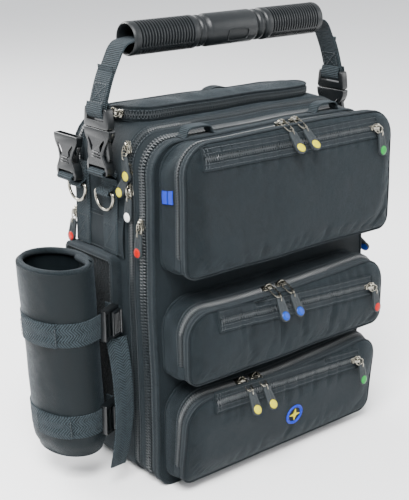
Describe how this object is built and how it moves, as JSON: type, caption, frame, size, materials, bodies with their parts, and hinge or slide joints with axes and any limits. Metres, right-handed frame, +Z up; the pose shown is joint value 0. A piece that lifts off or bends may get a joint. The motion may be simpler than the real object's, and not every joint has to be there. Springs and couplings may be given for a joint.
{
  "type": "flight bag",
  "caption": "Soft crew flight bag: zipped rear module, centre band and front module with three zipped pockets, ribbed carrying grip on buckles, D-rings and a side bottle sleeve.",
  "frame": {"origin": "on the base plane, in the middle of the bag's width, under the rear module's front half", "axes": "+Z up through the grip, +Y towards the rear panel, +X to the right seen from the front; the pockets face -Y"},
  "size_m": [0.3806, 0.1888, 0.4365],
  "materials": {
    "nylon": "woven nylon, matt with a soft sheen",
    "webbing": "twill webbing",
    "neoprene": "stretch-faced foam",
    "moulded_plastic": "satin acetal",
    "grip_rubber": "ribbed rubber",
    "pull_rubber": "soft moulded tab",
    "nickel": "nickel plate"
  },
  "bodies": {
    "rear_module": {"rear_shell": "nylon", "side_webbing_left": "webbing", "side_webbing_right": "webbing", "sleeve_panel": "neoprene", "bottle_sleeve": "neoprene", "sleeve_strap_upper": "webbing", "sleeve_strap_lower": "webbing", "cam_buckle_upper": "moulded_plastic", "cam_buckle_lower": "moulded_plastic", "strap_tail": "webbing"},
    "rear_panel": {"rear_panel": "nylon"},
    "top_lid": {"top_lid": "nylon"},
    "top_zip_slider": {"top_zip_slider": "pull_rubber"},
    "centre_band": {"centre_band": "nylon"},
    "front_module": {"front_shell": "nylon", "top_loop_left": "webbing", "top_loop_right": "webbing", "upper_pocket_shell": "nylon", "middle_pocket_shell": "nylon", "lower_pocket_shell": "nylon"},
    "handle_mounts": {"handle_buckle_female_left": "moulded_plastic", "handle_buckle_female_right": "moulded_plastic"},
    "handle": {"handle_grip": "grip_rubber", "handle_strap": "webbing", "handle_buckle_male_left": "moulded_plastic", "handle_buckle_male_right": "moulded_plastic"},
    "rear_zip_slider": {"rear_zip_slider": "pull_rubber"},
    "fine_zip_slider_lead": {"fine_zip_slider_lead": "nickel"},
    "fine_zip_pull_lead": {"fine_zip_pull_lead": "pull_rubber"},
    "fine_zip_slider_second": {"fine_zip_slider_second": "pull_rubber"},
    "fine_zip_slider_third": {"fine_zip_slider_third": "pull_rubber"},
    "heavy_zip_slider_left": {"heavy_zip_slider_left": "nickel"},
    "heavy_zip_pull_left": {"heavy_zip_pull_left": "pull_rubber"},
    "heavy_zip_slider_right": {"heavy_zip_slider_right": "pull_rubber"},
    "upper_lid": {"upper_pocket_lid": "nylon"},
    "upper_zip_slider_left": {"upper_zip_slider_left": "nickel"},
    "upper_zip_pull_left": {"upper_zip_pull_left": "pull_rubber"},
    "upper_zip_slider_right": {"upper_zip_slider_right": "nickel"},
    "upper_zip_pull_right": {"upper_zip_pull_right": "pull_rubber"},
    "upper_slash_slider": {"upper_slash_slider": "pull_rubber"},
    "middle_lid": {"middle_pocket_lid": "nylon"},
    "middle_zip_slider_left": {"middle_zip_slider_left": "nickel"},
    "middle_zip_pull_left": {"middle_zip_pull_left": "pull_rubber"},
    "middle_zip_slider_right": {"middle_zip_slider_right": "nickel"},
    "middle_zip_pull_right": {"middle_zip_pull_right": "pull_rubber"},
    "middle_slash_slider": {"middle_slash_slider": "pull_rubber"},
    "lower_lid": {"lower_pocket_lid": "nylon"},
    "lower_zip_slider_left": {"lower_zip_slider_left": "nickel"},
    "lower_zip_pull_left": {"lower_zip_pull_left": "pull_rubber"},
    "lower_zip_slider_right": {"lower_zip_slider_right": "nickel"},
    "lower_zip_pull_right": {"lower_zip_pull_right": "pull_rubber"},
    "lower_slash_slider": {"lower_slash_slider": "pull_rubber"},
    "spare_buckle_left": {"spare_buckle_female_left": "moulded_plastic"},
    "d_ring_front_left": {"d_ring_front_left": "nickel"},
    "d_ring_rear_left": {"d_ring_rear_left": "nickel"},
    "spare_buckle_right": {"spare_buckle_female_right": "moulded_plastic"},
    "d_ring_front_right": {"d_ring_front_right": "nickel"},
    "d_ring_rear_right": {"d_ring_rear_right": "nickel"},
    "cam_lever_upper": {"cam_lever_upper": "moulded_plastic"},
    "cam_lever_lower": {"cam_lever_lower": "moulded_plastic"}
  },
  "joints": [
    {"name": "rear_panel_open", "type": "hinge", "parent": "rear_module", "child": "rear_panel", "pos_m": [0, 0.073, 0.006], "axis": [-1, 0, 0], "range_deg": [0, 25]},
    {"name": "top_lid_open", "type": "hinge", "parent": "rear_module", "child": "top_lid", "pos_m": [0, 0.0695, 0.3453], "axis": [-1, 0, 0], "range_deg": [0, 80]},
    {"name": "top_zip_travel", "type": "slide", "parent": "rear_module", "child": "top_zip_slider", "axis": [0, 1, 0], "range_m": [-0.012, 0.015]},
    {"name": "main_opening", "type": "hinge", "parent": "rear_module", "child": "centre_band", "pos_m": [0, -0.0425, 0], "axis": [1, 0, 0], "range_deg": [0, 16]},
    {"name": "module_release", "type": "slide", "parent": "centre_band", "child": "front_module", "axis": [0, -0.9397, 0.342], "range_m": [0, 0.12]},
    {"name": "handle_swing", "type": "hinge", "parent": "rear_module", "child": "handle_mounts", "pos_m": [0, 0.0175, 0.297], "axis": [-1, 0, 0], "range_deg": [-50, 12]},
    {"name": "buckle_release", "type": "slide", "parent": "handle_mounts", "child": "handle", "axis": [0, 0, 1], "range_m": [0, 0.045]},
    {"name": "upper_lid_open", "type": "hinge", "parent": "front_module", "child": "upper_lid", "pos_m": [0, -0.0705, 0.22], "axis": [1, 0, 0], "range_deg": [0, 80]},
    {"name": "upper_zip_left_travel", "type": "slide", "parent": "upper_lid", "child": "upper_zip_slider_left", "axis": [1, 0, 0], "range_m": [-0.085, 0]},
    {"name": "upper_zip_pull_left_swing", "type": "hinge", "parent": "upper_zip_slider_left", "child": "upper_zip_pull_left", "pos_m": [-0.013, -0.0885, 0.3365], "axis": [-1, 0, 0], "range_deg": [-15, 95]},
    {"name": "upper_zip_right_travel", "type": "slide", "parent": "upper_lid", "child": "upper_zip_slider_right", "axis": [1, 0, 0], "range_m": [0, 0.094]},
    {"name": "upper_zip_pull_right_swing", "type": "hinge", "parent": "upper_zip_slider_right", "child": "upper_zip_pull_right", "pos_m": [0.004, -0.0885, 0.3365], "axis": [-1, 0, 0], "range_deg": [-15, 95]},
    {"name": "upper_slash_travel", "type": "slide", "parent": "upper_lid", "child": "upper_slash_slider", "axis": [1, 0, 0], "range_m": [-0.2, 0]},
    {"name": "middle_lid_open", "type": "hinge", "parent": "front_module", "child": "middle_lid", "pos_m": [0, -0.0695, 0.117], "axis": [1, 0, 0], "range_deg": [0, 50]},
    {"name": "middle_zip_left_travel", "type": "slide", "parent": "middle_lid", "child": "middle_zip_slider_left", "axis": [1, 0, 0], "range_m": [-0.074, 0]},
    {"name": "middle_zip_pull_left_swing", "type": "hinge", "parent": "middle_zip_slider_left", "child": "middle_zip_pull_left", "pos_m": [-0.024, -0.0875, 0.1835], "axis": [-1, 0, 0], "range_deg": [-15, 95]},
    {"name": "middle_zip_right_travel", "type": "slide", "parent": "middle_lid", "child": "middle_zip_slider_right", "axis": [1, 0, 0], "range_m": [0, 0.105]},
    {"name": "middle_zip_pull_right_swing", "type": "hinge", "parent": "middle_zip_slider_right", "child": "middle_zip_pull_right", "pos_m": [-0.007, -0.0875, 0.1835], "axis": [-1, 0, 0], "range_deg": [-15, 95]},
    {"name": "middle_slash_travel", "type": "slide", "parent": "middle_lid", "child": "middle_slash_slider", "axis": [1, 0, 0], "range_m": [-0.19, 0]},
    {"name": "lower_lid_open", "type": "hinge", "parent": "front_module", "child": "lower_lid", "pos_m": [0, -0.06035, 0.012], "axis": [1, 0, 0], "range_deg": [0, 50]},
    {"name": "lower_zip_left_travel", "type": "slide", "parent": "lower_lid", "child": "lower_zip_slider_left", "axis": [1, 0, 0], "range_m": [-0.041, 0]},
    {"name": "lower_zip_pull_left_swing", "type": "hinge", "parent": "lower_zip_slider_left", "child": "lower_zip_pull_left", "pos_m": [-0.057, -0.086, 0.0975], "axis": [-1, 0, 0], "range_deg": [-15, 95]},
    {"name": "lower_zip_right_travel", "type": "slide", "parent": "lower_lid", "child": "lower_zip_slider_right", "axis": [1, 0, 0], "range_m": [0, 0.1365]},
    {"name": "lower_zip_pull_right_swing", "type": "hinge", "parent": "lower_zip_slider_right", "child": "lower_zip_pull_right", "pos_m": [-0.0385, -0.086, 0.0975], "axis": [-1, 0, 0], "range_deg": [-15, 95]},
    {"name": "lower_slash_travel", "type": "slide", "parent": "lower_lid", "child": "lower_slash_slider", "axis": [1, 0, 0], "range_m": [-0.19, 0]},
    {"name": "spare_buckle_left_swing", "type": "hinge", "parent": "rear_module", "child": "spare_buckle_left", "pos_m": [-0.1496, 0.069, 0.283], "axis": [1, 0, 0], "range_deg": [-60, 12]},
    {"name": "d_ring_front_left_swing", "type": "hinge", "parent": "rear_module", "child": "d_ring_front_left", "pos_m": [-0.1437, 0.0215, 0.284], "axis": [0, 1, 0], "range_deg": [0, 90]},
    {"name": "d_ring_rear_left_swing", "type": "hinge", "parent": "rear_module", "child": "d_ring_rear_left", "pos_m": [-0.1437, 0.066, 0.284], "axis": [0, 1, 0], "range_deg": [0, 90]},
    {"name": "spare_buckle_right_swing", "type": "hinge", "parent": "rear_module", "child": "spare_buckle_right", "pos_m": [0.1496, 0.069, 0.283], "axis": [1, 0, 0], "range_deg": [-60, 12]},
    {"name": "d_ring_front_right_swing", "type": "hinge", "parent": "rear_module", "child": "d_ring_front_right", "pos_m": [0.1437, 0.0215, 0.284], "axis": [0, -1, 0], "range_deg": [0, 90]},
    {"name": "d_ring_rear_right_swing", "type": "hinge", "parent": "rear_module", "child": "d_ring_rear_right", "pos_m": [0.1437, 0.066, 0.284], "axis": [0, -1, 0], "range_deg": [0, 90]},
    {"name": "cam_lever_upper_open", "type": "hinge", "parent": "rear_module", "child": "cam_lever_upper", "pos_m": [-0.15943, -0.00674, 0.165], "axis": [0, 0, -1], "range_deg": [0, 75]},
    {"name": "cam_lever_lower_open", "type": "hinge", "parent": "rear_module", "child": "cam_lever_lower", "pos_m": [-0.15943, -0.0033, 0.068], "axis": [0, 0, -1], "range_deg": [0, 75]},
    {"name": "rear_zip_travel", "type": "slide", "parent": "rear_module", "child": "rear_zip_slider", "axis": [0, 0, 1], "range_m": [0, 0.045]},
    {"name": "fine_zip_lead_travel", "type": "slide", "parent": "rear_module", "child": "fine_zip_slider_lead", "axis": [0, 0, 1], "range_m": [-0.009, 0]},
    {"name": "fine_zip_pull_lead_swing", "type": "hinge", "parent": "fine_zip_slider_lead", "child": "fine_zip_pull_lead", "pos_m": [-0.1433, -0.0095, 0.3274], "axis": [0, 1, 0], "range_deg": [0, 100]},
    {"name": "fine_zip_second_travel", "type": "slide", "parent": "rear_module", "child": "fine_zip_slider_second", "axis": [0, 0, 1], "range_m": [-0.008, 0]},
    {"name": "fine_zip_third_travel", "type": "slide", "parent": "rear_module", "child": "fine_zip_slider_third", "axis": [0, 0, 1], "range_m": [-0.235, 0]},
    {"name": "heavy_zip_left_travel", "type": "slide", "parent": "centre_band", "child": "heavy_zip_slider_left", "axis": [0, 0, 1], "range_m": [-0.205, 0.045]},
    {"name": "heavy_zip_pull_left_swing", "type": "hinge", "parent": "heavy_zip_slider_left", "child": "heavy_zip_pull_left", "pos_m": [-0.1374, -0.0285, 0.2549], "axis": [0, 1, 0], "range_deg": [0, 100]},
    {"name": "heavy_zip_right_travel", "type": "slide", "parent": "centre_band", "child": "heavy_zip_slider_right", "axis": [0, 0, 1], "range_m": [-0.15, 0.1]}
  ]
}
